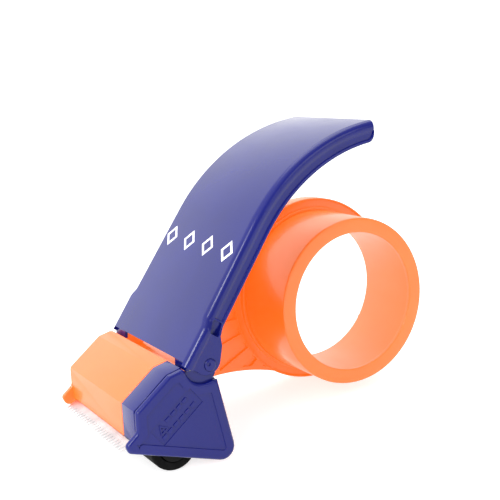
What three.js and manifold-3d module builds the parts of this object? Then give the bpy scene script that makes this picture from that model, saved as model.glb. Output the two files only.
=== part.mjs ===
// A hand-held dispenser for wide packing tape: a one-sided frame with a cutting head at the front
// and a hub at the back, a drum that turns on the hub, a side cover and a bowed handle.
// Millimetres. The design frame has its origin on the drum's axis: X runs from the head (-X) to
// the drum, Y is the tape's width with the open side at -Y, and Z is up.
import * as THREE from 'three';
import * as BufferGeometryUtils from 'three/addons/utils/BufferGeometryUtils.js';
import Module from 'manifold-3d';

// ---- driving dimensions -------------------------------------------------------------------
const TAPE_SPACE = 62;          // clear width between the two side walls
const INSIDE = TAPE_SPACE / 2;
const WALL = 2;                 // moulded wall of the frame and the cover
const LEDGE = 1.8;              // wall behind a handle lobe, and the arm's plate
const GAP = 0.3;                // clearance between neighbouring pieces
const HANDLE_WALL = 1.8;        // moulded wall of the handle's flanges
const HALF_WIDTH = INSIDE + LEDGE + GAP + HANDLE_WALL;
const COVER_BAND = 14;          // how far the cover reaches in over the hood

const DRUM_RADIUS = 37.5;       // fits a 76 mm tape core
const DRUM_WALL = 2;
const DRUM_LENGTH = 32.4;
const COLLAR_WALL = 1.6;        // fixed collar that the drum turns on
const COLLAR_PLAY = 1.2;        // between the collar and the drum's wall
const DRUM_BORE = DRUM_RADIUS - DRUM_WALL;
const COLLAR_OUTER = DRUM_BORE - COLLAR_PLAY;
const COLLAR_INNER = COLLAR_OUTER - COLLAR_WALL;
const DRUM_LIP_RADIUS = COLLAR_INNER - 1.7;   // inner edge of the drum's near face
const DRUM_CHAMFER = 0.8;
const CATCH = 0.75;             // height of the collar's bead and of the drum's rib
const CATCH_START = 3.2;        // the drum's rib, behind the collar's end
const THRUST_RING = { radius: DRUM_RADIUS + 1.3, height: 1 };

const RIM_RADIUS = DRUM_RADIUS + 5.5;         // hub flange
const RIM_WALL = 1.8;
const RIM_DEPTH = 8;            // hub flange, measured along Y
const HUB_RIBS = 12;
const HUB_RIB_REACH = 7;        // from the rim's outside, inwards
const RIB_WIDTH = 1.4;
const RIB_DROP = 2;             // the ribs end this far short of the rim's face
const HUB_SIDES = 64;           // facets of the hub's circles
const ARM_ARCH_RADIUS = 90;     // hollow underside of the arm
const ARM_ARCH_ANGLE = 251;     // from the drum's axis to the middle of that arch, degrees
const ARM_ARCH_CROSSING = 1.1;  // the arch runs this far into the rim
const ARM_ARCH_STEPS = 8;
const ARM_TOP_START = [-87.4, -15.4];
const ARM_ROOT_BOTTOM = [-82, -38];
const ARM_ROOT = [ARM_TOP_START, [-70, -14], [-70, -44], [-83, -44]];
const ARM_HOLLOW_TOP = [-80.8, -17.4];
const ARM_HOLLOW_BOTTOM = [-76, -38];
const ARM_RIB_ANGLES = [168, 186, 204];
const ARM_FULL_DEPTH = 6;       // the arm reaches the rim's depth this far inside the rim
const ARM_TOP_ANGLE = 140;      // where the arm's top edge meets the rim, degrees

const HANDLE_RADIUS = 82;       // outer face of the bow, about the drum's axis
const HANDLE_TIP_ANGLE = 98.8;  // degrees, from +X towards +Z
const HANDLE_BEND_ANGLE = 148.6;
const HANDLE_STRAIGHT = 57.6;   // straight part, from the bend to the foot
const HANDLE_DEPTH = 8.7;       // flange height
const HANDLE_PLATE = 2;
const HANDLE_CORNER = 2.6;      // round between plate and flange
const HANDLE_TIP_ROUND = 3.5;
const HANDLE_JOG = 2;           // the flanges step in here, above the lobes
const HANDLE_TAPER = 3;         // further narrowing of each side up to the tip
const JOG_START = 14.4;         // along the handle, from the foot
const JOG_END = 19;
const LOBE = { x: -90.6, z: -6.8, radius: 5.7, from: 210, to: 350 };
const LOBE_BACK = [-84.2, -2];  // upper end of the lobe's rear edge
const LOBE_FRONT_DEPTH = 3.4;   // where the lobe leaves the foot, below the plate's face
const WINDOW = { start: 14.8, end: 19, top: 2.9, bottom: 7.6 };
const PIN_RADIUS = 2;
const PIN = { x: -89.5, z: -8.6, radius: PIN_RADIUS, headRadius: PIN_RADIUS + 0.7, headHeight: 0.9 };
const PIN_BARB = { lift: 0.6, length: 1.4 };
const PIN_BOSS_WALL = 2.4;      // plastic round a pin's bore

const HEAD = {
  hoodTop: [-101, -8.6],
  hoodBend: [-106.7, -10.4],
  hoodFront: [-119.9, -22.3],
  chin: [-119.5, -30],
  noseTip: [-124.2, -34.4, 1],
  noseBottom: [-122.6, -37.4, 1.6],
  heel: [-76.8, -49, 5.1],
  back: [-86.3, -14.6],
};
const TROUGH = { x: -91.9, z: -6.9, radius: 8.5, from: 290, to: 200 };
const LEDGE_ARC = { from: 203, to: 287 };     // the ledge follows the trough between these angles
const LEDGE_REAR = [[-86.7, -12.6], [-86.5, -8.6]];

// A larger press roller keeps its front in place and sits half as much lower as it grows.
const PRESS_RADIUS = 9.7;
const PRESS_RUBBER = 3.7;       // thickness of its sleeve, with the clearance round the core
const PRESS_ROLLER = {
  x: -112.1 + PRESS_RADIUS,
  z: -34.65 - PRESS_RADIUS / 2,
  radius: PRESS_RADIUS,
  coreRadius: PRESS_RADIUS - PRESS_RUBBER,
  axleRadius: 1.5,
};

// The guide roller lies behind and above the press roller, with the tape's way between them.
const GUIDE_RADIUS = 4.5;
const TAPE_WAY = 1.04;
const GUIDE_ANGLE = 51.93;      // from the press roller's axle, degrees
const betweenRollers = PRESS_RADIUS + TAPE_WAY + GUIDE_RADIUS;
const GUIDE_ROLLER = {
  x: PRESS_ROLLER.x + betweenRollers * Math.cos(THREE.MathUtils.degToRad(GUIDE_ANGLE)),
  z: PRESS_ROLLER.z + betweenRollers * Math.sin(THREE.MathUtils.degToRad(GUIDE_ANGLE)),
  radius: GUIDE_RADIUS,
  rootRadius: GUIDE_RADIUS - 0.9,
  axleRadius: 1.2,
  ribs: 7,
};
const ROLLER_SIDE_PLAY = 1.2;
const CORE_OUTREACH = 0.4;      // the press roller's core is longer than its sleeve, each end
const AXLE_SOCKET_WALL = 2.6;   // plastic round an axle's end
const AXLE_SKIN = 1;            // plastic left outside an axle's end

const BLADE = { tipX: -124, tipZ: -37.8, slope: 26, length: 13, thickness: 0.5, halfWidth: INSIDE - 1 };
const TOOTH_PITCH = 2.4;
const TOOTH_DEPTH = 3.3;
const SEAT_START = 5.6;         // blade seat, measured from the tooth tips
const SEAT_END = 13.5;
const TONGUE = { start: 7, thickness: 0.6, reach: 4, rise: 5 };
const CLAMP = { start: 7.6, end: 12, thickness: 1.2, shorter: 2 };
const BLADE_SCREW_OUT = INSIDE - 11;          // the outer blade screws, along Y
const BLADE_SCREW = {
  at: 9.8, radius: 0.9, headRadius: 2, headHeight: 1.2, places: [-BLADE_SCREW_OUT, 0, BLADE_SCREW_OUT],
};

const COVER_SCREW = { radius: 1, length: 13, headRadius: 2.6, headHeight: 1.1, sink: 1.5 };
const CROSS_SLOT = { length: 2.8, depth: 1.4, width: 0.6 };
const POSTS = [
  { x: -112.4, z: -23.2, radius: 3 },
  { x: -85, z: -42.2, radius: 2.6 },
  { x: -103.5, z: -15.3, radius: 3 },
];
const PAD_EXTRA = 1.2;          // the screw pads are this much wider than the posts
const GROOVE = {
  width: 3.4, depth: 0.8, inner: RIM_RADIUS - 0.8, outer: RIM_RADIUS + 17, pitch: 10.5, first: 170, count: 7,
};

// ---- derived planes along Y ---------------------------------------------------------------
const LEDGE_FACE = INSIDE + LEDGE;
const WALL_INSIDE = HALF_WIDTH - WALL;
const SPLIT = -HALF_WIDTH + COVER_BAND;
const OVERLAP = 0.5;            // joined shapes run this far into each other
const BEYOND = 1;               // cutting shapes run this far past a surface
const RIM_FACE = INSIDE + RIM_DEPTH;
const DRUM_FAR = INSIDE - THRUST_RING.height - GAP;
const DRUM_NEAR = DRUM_FAR - DRUM_LENGTH;

const ORANGE = { color: 0xff7d33, roughness: 0.35, metalness: 0 };
const BLUE = { color: 0x3c3da0, roughness: 0.25, metalness: 0 };
const STEEL = { color: 0xc9cbd0, roughness: 0.25, metalness: 1 };
const RUBBER = { color: 0x151515, roughness: 0.7, metalness: 0 };
const NYLON = { color: 0xe8e6de, roughness: 0.45, metalness: 0 };

// ---- small geometry tools -----------------------------------------------------------------
const wasm = await Module();
wasm.setup();

const radians = THREE.MathUtils.degToRad;

function solid(geometry) {
  const bare = new THREE.BufferGeometry();
  bare.setAttribute('position', geometry.getAttribute('position'));
  bare.setIndex(geometry.getIndex());
  const merged = BufferGeometryUtils.mergeVertices(bare, 1e-4);
  const vertProperties = new Float32Array(merged.getAttribute('position').array);
  const triVerts = new Uint32Array(merged.getIndex().array);
  return new wasm.Manifold(new wasm.Mesh({ numProp: 3, vertProperties, triVerts }));
}

function meshOf(name, manifold, look) {
  const { vertProperties, triVerts } = manifold.getMesh();
  const geometry = new THREE.BufferGeometry();
  geometry.setAttribute('position', new THREE.BufferAttribute(vertProperties, 3));
  geometry.setIndex(new THREE.BufferAttribute(triVerts, 1));
  geometry.computeVertexNormals();
  const mesh = new THREE.Mesh(geometry, new THREE.MeshStandardMaterial(look));
  mesh.name = name;
  return mesh;
}

// Points of an arc in the X-Z plane, with angles in degrees.
function arc(x, z, radius, from, to, steps) {
  return Array.from({ length: steps + 1 }, (_, i) => {
    const angle = radians(from + (to - from) * i / steps);
    return [x + radius * Math.cos(angle), z + radius * Math.sin(angle)];
  });
}

// A closed X-Z outline; a corner is [x, z] or [x, z, radius] when it is rounded.
function outline(corners, steps = 5) {
  const points = corners.flatMap(([x, z, radius = 0], i) => {
    const here = new THREE.Vector2(x, z);
    if (radius === 0) return [here];
    const before = corners[(i + corners.length - 1) % corners.length];
    const after = corners[(i + 1) % corners.length];
    const back = new THREE.Vector2(before[0] - x, before[1] - z).normalize();
    const ahead = new THREE.Vector2(after[0] - x, after[1] - z).normalize();
    const half = Math.acos(back.dot(ahead)) / 2;
    const middle = back.clone().add(ahead).normalize();
    const centre = here.clone().addScaledVector(middle, radius / Math.sin(half));
    const start = here.clone().addScaledVector(back, radius / Math.tan(half)).sub(centre);
    const end = here.clone().addScaledVector(ahead, radius / Math.tan(half)).sub(centre);
    const turn = Math.atan2(start.cross(end), start.dot(end));
    return Array.from({ length: steps + 1 }, (_, k) =>
      start.clone().rotateAround(new THREE.Vector2(), turn * k / steps).add(centre));
  });
  return new THREE.Shape(points);
}

// An X-Z shape filled between two planes along Y.
function slab(shape, fromY, toY) {
  const geometry = new THREE.ExtrudeGeometry(shape, { depth: toY - fromY, bevelEnabled: false });
  geometry.rotateX(Math.PI / 2);
  geometry.translate(0, toY, 0);
  return solid(geometry);
}

// A round bar along Y.
function bar(x, z, radius, fromY, toY, sides = 16) {
  const geometry = new THREE.CylinderGeometry(radius, radius, toY - fromY, sides);
  geometry.translate(x, (fromY + toY) / 2, z);
  return solid(geometry);
}

// A turned shape about Y; the profile is a list of [radius, y].
function turned(profile, x, z, sides) {
  const points = profile.map(([radius, y]) => new THREE.Vector2(radius, y));
  const geometry = new THREE.LatheGeometry(points, sides);
  geometry.translate(x, 0, z);
  const made = solid(geometry);
  return made.volume() > 0 ? made : solid(flipped(geometry));
}

function flipped(geometry) {
  const index = Array.from(geometry.getIndex().array);
  for (let i = 0; i < index.length; i += 3) [index[i], index[i + 1]] = [index[i + 1], index[i]];
  const copy = geometry.clone();
  copy.setIndex(index);
  return copy;
}

// A strip of even thickness on the left-hand side of an open path.
function strip(path, thickness) {
  const points = path.map(([x, z]) => new THREE.Vector2(x, z));
  const leftOf = (a, b) => new THREE.Vector2(a.y - b.y, b.x - a.x).normalize();
  const inner = points.map((point, i) => {
    const before = i > 0 ? leftOf(points[i - 1], point) : leftOf(point, points[i + 1]);
    const after = i < points.length - 1 ? leftOf(point, points[i + 1]) : before;
    const middle = before.clone().add(after).normalize();
    return point.clone().addScaledVector(middle, thickness / middle.dot(after));
  });
  return new THREE.Shape([...points, ...inner.reverse()]);
}

// A solid through rings that all have the same number of points.
function loft(rings) {
  const count = rings[0].length;
  const positions = rings.flat().flatMap((point) => [point.x, point.y, point.z]);
  const index = [];
  for (let ring = 0; ring < rings.length - 1; ring += 1) {
    for (let i = 0; i < count; i += 1) {
      const a = ring * count + i;
      const b = ring * count + (i + 1) % count;
      index.push(a, b, b + count, a, b + count, a + count);
    }
  }
  const last = (rings.length - 1) * count;
  for (let i = 1; i < count - 1; i += 1) {
    index.push(0, i + 1, i);
    index.push(last, last + i, last + i + 1);
  }
  const geometry = new THREE.BufferGeometry();
  geometry.setAttribute('position', new THREE.Float32BufferAttribute(positions, 3));
  geometry.setIndex(index);
  const made = solid(geometry);
  return made.volume() > 0 ? made : solid(flipped(geometry));
}

const union = (pieces) => pieces.reduce((all, piece) => all.add(piece));
const without = (body, cuts) => cuts.reduce((rest, cut) => rest.subtract(cut), body);

// The same solid on the other side of the dispenser.
function mirrored(make) {
  return (sign) => make((from, to) => (sign > 0 ? [from, to] : [-to, -from]));
}

// ---- the head's shared outlines -----------------------------------------------------------
const troughArc = arc(TROUGH.x, TROUGH.z, TROUGH.radius, TROUGH.from, TROUGH.to, 10);

function headShape() {
  return outline([
    HEAD.hoodTop, HEAD.hoodBend, HEAD.hoodFront, HEAD.chin,
    HEAD.noseTip, HEAD.noseBottom, HEAD.heel, HEAD.back, ...troughArc,
  ]);
}

// The blade's own frame: "along" runs from the tooth tips up into the head, "below" away from
// the seat.
const bladeAlong = new THREE.Vector2(Math.cos(radians(BLADE.slope)), Math.sin(radians(BLADE.slope)));
const bladeBelow = new THREE.Vector2(bladeAlong.y, -bladeAlong.x);

function onBlade(along, below) {
  return [
    BLADE.tipX + bladeAlong.x * along + bladeBelow.x * below,
    BLADE.tipZ + bladeAlong.y * along + bladeBelow.y * below,
  ];
}

// Hood, trough under the handle's foot, and blade seat are one wall, bent round.
function hoodShape() {
  return strip([
    HEAD.back, ...troughArc, HEAD.hoodTop, HEAD.hoodBend, HEAD.hoodFront,
    onBlade(SEAT_START, -GAP), onBlade(SEAT_END, -GAP),
  ], WALL);
}

// A side wall with its recess for a handle lobe and the ledge behind it, on side +1 or -1.
const sideWall = mirrored((span) => {
  const ledgeRadius = TROUGH.radius + LEDGE;
  const ledge = outline([
    ...arc(TROUGH.x, TROUGH.z, ledgeRadius, LEDGE_ARC.from, LEDGE_ARC.to, 8),
    ...LEDGE_REAR,
  ]);
  return union([
    slab(headShape(), ...span(WALL_INSIDE, HALF_WIDTH)),
    slab(ledge, ...span(INSIDE, LEDGE_FACE)),
    bar(PIN.x, PIN.z, PIN.radius + PIN_BOSS_WALL, ...span(INSIDE, LEDGE_FACE)),
    slab(strip(troughArc, LEDGE), ...span(INSIDE, WALL_INSIDE + OVERLAP)),
  ]);
});

// Sockets for both roller axles, moulded on the inside of a side wall.
const axleSockets = mirrored((span) => union([PRESS_ROLLER, GUIDE_ROLLER].map((roller) =>
  bar(roller.x, roller.z, roller.axleRadius + GAP + AXLE_SOCKET_WALL,
    ...span(INSIDE, WALL_INSIDE + OVERLAP)).intersect(slab(headShape(), ...span(0, HALF_WIDTH))))));

const axleBores = mirrored((span) => union([PRESS_ROLLER, GUIDE_ROLLER].map((roller) =>
  bar(roller.x, roller.z, roller.axleRadius + GAP,
    ...span(INSIDE - BEYOND, HALF_WIDTH - AXLE_SKIN)))));

const pinBore = mirrored((span) =>
  bar(PIN.x, PIN.z, PIN.radius + GAP, ...span(INSIDE - BEYOND, HALF_WIDTH + BEYOND)));

// ---- frame --------------------------------------------------------------------------------

// The arm's arched underside and the part of the rim that closes its outline, both drawn in
// from the outer faces; the arch starts at one place along X and ends where it meets the rim.
function archAndRim(startX, drawnIn) {
  const away = RIM_RADIUS + ARM_ARCH_RADIUS - ARM_ARCH_CROSSING;
  const angle = radians(ARM_ARCH_ANGLE);
  const middle = new THREE.Vector2(away * Math.cos(angle), away * Math.sin(angle) + drawnIn);
  const rimRadius = RIM_RADIUS - OVERLAP - drawnIn;
  const toMiddle = middle.length();
  const cosine = (rimRadius ** 2 + toMiddle ** 2 - ARM_ARCH_RADIUS ** 2) / (2 * rimRadius * toMiddle);
  const meeting = THREE.MathUtils.radToDeg(middle.angle() - Math.acos(cosine));
  const rim = arc(0, 0, rimRadius, meeting, ARM_TOP_ANGLE, 10);
  const endX = rim[0][0];
  const arch = Array.from({ length: ARM_ARCH_STEPS }, (_, i) => {
    const x = startX + (endX - startX) * i / ARM_ARCH_STEPS;
    return [x, middle.y + Math.sqrt(ARM_ARCH_RADIUS ** 2 - (x - middle.x) ** 2)];
  });
  return [...arch, ...rim];
}

function armShape() {
  return outline([ARM_TOP_START, ARM_ROOT_BOTTOM, ...archAndRim(ARM_ROOT_BOTTOM[0] + 2, 0)]);
}

// The hollow of the arm on its far side, inside the lips along its two edges.
function armHollowShape() {
  return outline([ARM_HOLLOW_TOP, ARM_HOLLOW_BOTTOM, ...archAndRim(ARM_HOLLOW_BOTTOM[0], RIM_WALL)]);
}

// Everything on the far side of this plane is cut away, so that the arm thins towards the head.
function armTaper() {
  const front = HEAD.noseTip[0] - BEYOND;
  const back = RIM_RADIUS + BEYOND;
  const clear = RIM_FACE + BEYOND;
  const plan = new THREE.Shape([
    new THREE.Vector2(front, HALF_WIDTH),
    new THREE.Vector2(HEAD.heel[0], HALF_WIDTH),
    new THREE.Vector2(ARM_FULL_DEPTH - RIM_RADIUS, RIM_FACE),
    new THREE.Vector2(back, RIM_FACE),
    new THREE.Vector2(back, clear),
    new THREE.Vector2(front, clear),
  ]);
  const height = 4 * RIM_RADIUS;
  const geometry = new THREE.ExtrudeGeometry(plan, { depth: height, bevelEnabled: false });
  geometry.translate(0, 0, -height / 2);
  return solid(geometry);
}

// A radial box on the hub: from one radius to another at an angle in degrees.
function spoke(angle, inner, outer, width, fromY, toY) {
  const geometry = new THREE.BoxGeometry(outer - inner, toY - fromY, width);
  geometry.translate((inner + outer) / 2, (fromY + toY) / 2, 0);
  geometry.rotateY(-radians(angle));
  return solid(geometry);
}

function armAndHub() {
  const full = union([
    bar(0, 0, RIM_RADIUS, INSIDE, RIM_FACE, HUB_SIDES),
    slab(armShape(), INSIDE, RIM_FACE),
  ]);
  const hollow = union([
    bar(0, 0, RIM_RADIUS - RIM_WALL, LEDGE_FACE, RIM_FACE + BEYOND, HUB_SIDES),
    slab(armHollowShape(), LEDGE_FACE, RIM_FACE + BEYOND),
  ]);
  const ribs = Array.from({ length: HUB_RIBS }, (_, i) =>
    spoke(i * 360 / HUB_RIBS, RIM_RADIUS - HUB_RIB_REACH, RIM_RADIUS - OVERLAP, RIB_WIDTH,
      INSIDE + OVERLAP, RIM_FACE - RIB_DROP));
  const armRibs = ARM_RIB_ANGLES.map((angle) =>
    spoke(angle, RIM_RADIUS - OVERLAP, 2 * RIM_RADIUS, RIB_WIDTH, INSIDE + OVERLAP, RIM_FACE - RIB_DROP)
      .intersect(slab(armShape(), INSIDE, RIM_FACE)));
  const grooves = Array.from({ length: GROOVE.count }, (_, i) =>
    spoke(GROOVE.first + i * GROOVE.pitch, GROOVE.inner, GROOVE.outer, GROOVE.width,
      INSIDE - BEYOND, INSIDE + GROOVE.depth).intersect(slab(armHollowShape(), INSIDE - BEYOND, RIM_FACE)));
  const ringGroove = bar(0, 0, GROOVE.inner, INSIDE - BEYOND, INSIDE + GROOVE.depth, HUB_SIDES);
  const shell = union([without(full, [hollow]), ...ribs, ...armRibs]);
  const thrustRing = bar(0, 0, THRUST_RING.radius, INSIDE - THRUST_RING.height, LEDGE_FACE, HUB_SIDES);
  return union([without(shell, [armTaper(), ringGroove, ...grooves]), thrustRing]);
}

// The collar ends in a bead that keeps the drum on.
function collar() {
  const near = DRUM_NEAR + DRUM_WALL + GAP;
  return turned([
    [COLLAR_INNER, near], [COLLAR_OUTER, near], [COLLAR_OUTER + CATCH, near + 1],
    [COLLAR_OUTER + CATCH, near + 1.6], [COLLAR_OUTER, near + 2.4],
    [COLLAR_OUTER, INSIDE + OVERLAP], [COLLAR_INNER, INSIDE + OVERLAP], [COLLAR_INNER, near],
  ], 0, 0, HUB_SIDES);
}

function screwPads() {
  return union(POSTS.map((post) =>
    bar(post.x, post.z, post.radius + PAD_EXTRA, INSIDE, WALL_INSIDE + OVERLAP)
      .intersect(slab(headShape(), 0, HALF_WIDTH))));
}

function screwHoles() {
  return union(POSTS.flatMap((post) => [
    bar(post.x, post.z, COVER_SCREW.radius + GAP, INSIDE - BEYOND, HALF_WIDTH),
    bar(post.x, post.z, COVER_SCREW.headRadius + GAP, HALF_WIDTH - COVER_SCREW.sink, HALF_WIDTH + BEYOND),
  ]));
}

// Holes for the blade's screws, square to the blade, from one depth to another.
function bladeHoles(radius, fromBelow, toBelow) {
  return union(BLADE_SCREW.places.map((y) => {
    const geometry = new THREE.CylinderGeometry(radius, radius, toBelow - fromBelow, 10);
    geometry.rotateX(Math.PI / 2);
    geometry.translate(0, 0, (fromBelow + toBelow) / 2);
    placeOnBlade(geometry, y);
    return solid(geometry);
  }));
}

// Local X becomes the dispenser's Y, local Y runs along the blade and local Z below it.
function placeOnBlade(geometry, y, along = BLADE_SCREW.at) {
  const [x, z] = onBlade(along, 0);
  geometry.applyMatrix4(new THREE.Matrix4().makeBasis(
    new THREE.Vector3(0, 1, 0),
    new THREE.Vector3(bladeAlong.x, 0, bladeAlong.y),
    new THREE.Vector3(bladeBelow.x, 0, bladeBelow.y),
  ).setPosition(x, y, z));
}

function makeFrame() {
  const hood = slab(hoodShape(), SPLIT + GAP, WALL_INSIDE + OVERLAP);
  const armRoot = slab(headShape(), INSIDE, HALF_WIDTH - OVERLAP)
    .intersect(slab(outline(ARM_ROOT), 0, HALF_WIDTH));
  const body = union([hood, sideWall(1), axleSockets(1), screwPads(), armRoot, armAndHub(), collar()]);
  const shaped = without(body, [
    bar(0, 0, COLLAR_INNER, DRUM_NEAR, RIM_FACE + BEYOND, HUB_SIDES),
    axleBores(1), pinBore(1), screwHoles(),
    bladeHoles(BLADE_SCREW.radius + GAP, -WALL - BEYOND, BEYOND),
  ]);
  return meshOf('frame', shaped, ORANGE);
}

// ---- side cover ---------------------------------------------------------------------------
function makeSideCover() {
  const band = slab(hoodShape(), -WALL_INSIDE - OVERLAP, SPLIT);
  const posts = POSTS.map((post) => bar(post.x, post.z, post.radius, -WALL_INSIDE - OVERLAP, INSIDE - GAP));
  const pilots = POSTS.map((post) =>
    bar(post.x, post.z, COVER_SCREW.radius + GAP, INSIDE - COVER_SCREW.length, INSIDE, 10));
  const body = union([sideWall(-1), band, axleSockets(-1), ...posts]);
  const shaped = without(body, [
    axleBores(-1), pinBore(-1), ...pilots,
    bladeHoles(BLADE_SCREW.radius + GAP, -WALL - BEYOND, BEYOND),
  ]);
  return meshOf('side_cover', shaped, BLUE);
}

// ---- tape drum ----------------------------------------------------------------------------
function makeTapeDrum() {
  const catchStart = DRUM_NEAR + DRUM_WALL + GAP + CATCH_START;
  const drum = turned([
    [DRUM_LIP_RADIUS, DRUM_NEAR], [DRUM_RADIUS - DRUM_CHAMFER, DRUM_NEAR],
    [DRUM_RADIUS, DRUM_NEAR + DRUM_CHAMFER],
    [DRUM_RADIUS, DRUM_FAR], [DRUM_BORE, DRUM_FAR], [DRUM_BORE, catchStart + 1.6],
    [DRUM_BORE - CATCH, catchStart + 1.1], [DRUM_BORE - CATCH, catchStart],
    [DRUM_BORE, catchStart - 0.5], [DRUM_BORE, DRUM_NEAR + DRUM_WALL],
    [DRUM_LIP_RADIUS, DRUM_NEAR + DRUM_WALL], [DRUM_LIP_RADIUS, DRUM_NEAR],
  ], 0, 0, HUB_SIDES);
  return meshOf('tape_drum', drum, ORANGE);
}

// ---- handle -------------------------------------------------------------------------------
const handleBow = radians(HANDLE_BEND_ANGLE - HANDLE_TIP_ANGLE) * HANDLE_RADIUS;
const handleLength = HANDLE_STRAIGHT + handleBow;

// The point and the directions at a distance along the handle's outer face, from the foot.
function alongHandle(distance) {
  const bend = radians(HANDLE_BEND_ANGLE);
  const ahead = distance - HANDLE_STRAIGHT;
  const angle = ahead > 0 ? bend - ahead / HANDLE_RADIUS : bend;
  const inward = new THREE.Vector3(-Math.cos(angle), 0, -Math.sin(angle));
  const forward = new THREE.Vector3(Math.sin(angle), 0, -Math.cos(angle));
  const point = inward.clone().multiplyScalar(-HANDLE_RADIUS);
  if (ahead < 0) point.addScaledVector(forward, ahead);
  return { point, inward };
}

function handleHalfWidth(distance) {
  const jog = THREE.MathUtils.clamp((distance - JOG_START) / (JOG_END - JOG_START), 0, 1);
  const taper = THREE.MathUtils.clamp((distance - JOG_END) / (handleLength - JOG_END), 0, 1);
  return HALF_WIDTH - HANDLE_JOG * jog - HANDLE_TAPER * taper;
}

// One cross-section of the handle, as corners [across, depth] turned into points.
function handleRing(distance, corners) {
  const { point, inward } = alongHandle(distance);
  return corners.map(([across, depth]) => {
    const corner = point.clone().addScaledVector(inward, depth);
    corner.y = across;
    return corner;
  });
}

function handleStations(from, to) {
  const bow = Array.from({ length: 15 }, (_, i) => HANDLE_STRAIGHT + handleBow * i / 14);
  const places = [from, JOG_START, JOG_END, HANDLE_STRAIGHT / 2 + 8, ...bow.filter((d) => d < to), to];
  return places.filter((d, i) => i === 0 || d > places[i - 1]);
}

function makeHandle() {
  const tipStart = handleLength - HANDLE_TIP_ROUND;
  const tipSteps = [0.35, 0.65, 0.87, 1].map((share) => tipStart + HANDLE_TIP_ROUND * share);
  const depthAt = (distance) => {
    const into = Math.max(0, distance - tipStart);
    return HANDLE_DEPTH - HANDLE_TIP_ROUND + Math.sqrt(Math.max(0, HANDLE_TIP_ROUND ** 2 - into ** 2));
  };
  const outer = [...handleStations(0, tipStart), ...tipSteps].map((distance) => {
    const half = handleHalfWidth(distance);
    const depth = depthAt(distance);
    const round = arc(HANDLE_CORNER, HANDLE_CORNER, HANDLE_CORNER, 180, 270, 4);
    return handleRing(distance, [
      [-half, depth],
      ...round.map(([across, down]) => [across - half, down]),
      ...round.toReversed().map(([across, down]) => [half - across, down]),
      [half, depth],
    ]);
  });
  const inner = handleStations(-BEYOND, handleLength - HANDLE_PLATE).map((distance) => {
    const half = handleHalfWidth(distance) - HANDLE_WALL;
    const depth = HANDLE_DEPTH + BEYOND;
    return handleRing(distance, [
      [-half, depth], [-half, HANDLE_PLATE], [half, HANDLE_PLATE], [half, depth],
    ]);
  });
  const flat = (distance, depth) => {
    const [point] = handleRing(distance, [[0, depth]]);
    return [point.x, point.z];
  };
  const lobeShape = outline([
    flat(HANDLE_CORNER / 2, HANDLE_CORNER / 2), flat(0, LOBE_FRONT_DEPTH),
    ...arc(LOBE.x, LOBE.z, LOBE.radius, LOBE.from, LOBE.to, 10),
    LOBE_BACK, flat(JOG_START + BEYOND, HANDLE_DEPTH), flat(JOG_START + BEYOND, HANDLE_CORNER),
  ]);
  const windowShape = outline([
    flat(WINDOW.start, WINDOW.top), flat(WINDOW.end, WINDOW.top),
    flat(WINDOW.end, WINDOW.bottom), flat(WINDOW.start, WINDOW.bottom),
  ]);
  const sides = [1, -1].map((side) => {
    const span = (from, to) => (side > 0 ? [from, to] : [-to, -from]);
    return {
      lobe: slab(lobeShape, ...span(HALF_WIDTH - HANDLE_WALL, HALF_WIDTH)),
      cuts: [
        slab(windowShape, ...span(HALF_WIDTH - 2 * HANDLE_JOG - HANDLE_WALL, HALF_WIDTH + BEYOND)),
        bar(PIN.x, PIN.z, PIN.radius + GAP, ...span(HALF_WIDTH - HANDLE_WALL - BEYOND, HALF_WIDTH + BEYOND)),
        bar(PIN.x, PIN.z, PIN.headRadius + GAP, ...span(HALF_WIDTH - PIN.headHeight, HALF_WIDTH + BEYOND)),
      ],
    };
  });
  const body = union([loft(outer), ...sides.map(({ lobe }) => lobe)]);
  return meshOf('handle', without(body, [loft(inner), ...sides.flatMap(({ cuts }) => cuts)]), BLUE);
}

// A snap pin with a domed head outside the lobe and a barb inside the ledge.
function makeHandlePin(name, side) {
  const seat = HALF_WIDTH - PIN.headHeight + GAP;
  const barb = INSIDE - GAP;
  const end = barb - PIN_BARB.length;
  const profile = [
    [0, end], [PIN.radius - 0.3, end], [PIN.radius + PIN_BARB.lift, barb - 0.2],
    [PIN.radius + PIN_BARB.lift, barb], [PIN.radius, barb], [PIN.radius, seat],
    [PIN.headRadius, seat], [PIN.headRadius, seat + 0.4],
    [PIN.headRadius * 0.75, seat + 0.8], [0, seat + PIN.headHeight + 0.1],
  ];
  const sided = profile.map(([radius, y]) => [radius, side * y]);
  return meshOf(name, turned(sided, PIN.x, PIN.z, 18), BLUE);
}

// ---- cutting blade and what holds it --------------------------------------------------------
function makeBlade() {
  const half = BLADE.halfWidth;
  const count = Math.floor(2 * half / TOOTH_PITCH);
  const start = -count * TOOTH_PITCH / 2;
  const teeth = Array.from({ length: count }, (_, i) => [
    new THREE.Vector2(start + i * TOOTH_PITCH, TOOTH_DEPTH),
    new THREE.Vector2(start + (i + 0.5) * TOOTH_PITCH, 0),
  ]).flat();
  const shape = new THREE.Shape([
    ...teeth, new THREE.Vector2(half, TOOTH_DEPTH),
    new THREE.Vector2(half, BLADE.length), new THREE.Vector2(-half, BLADE.length),
  ]);
  const geometry = new THREE.ExtrudeGeometry(shape, { depth: BLADE.thickness, bevelEnabled: false });
  placeOnBlade(geometry, 0, 0);
  const holes = bladeHoles(BLADE_SCREW.radius + GAP, -BEYOND, BLADE.thickness + BEYOND);
  return meshOf('blade', solid(geometry).subtract(holes), STEEL);
}

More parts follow.
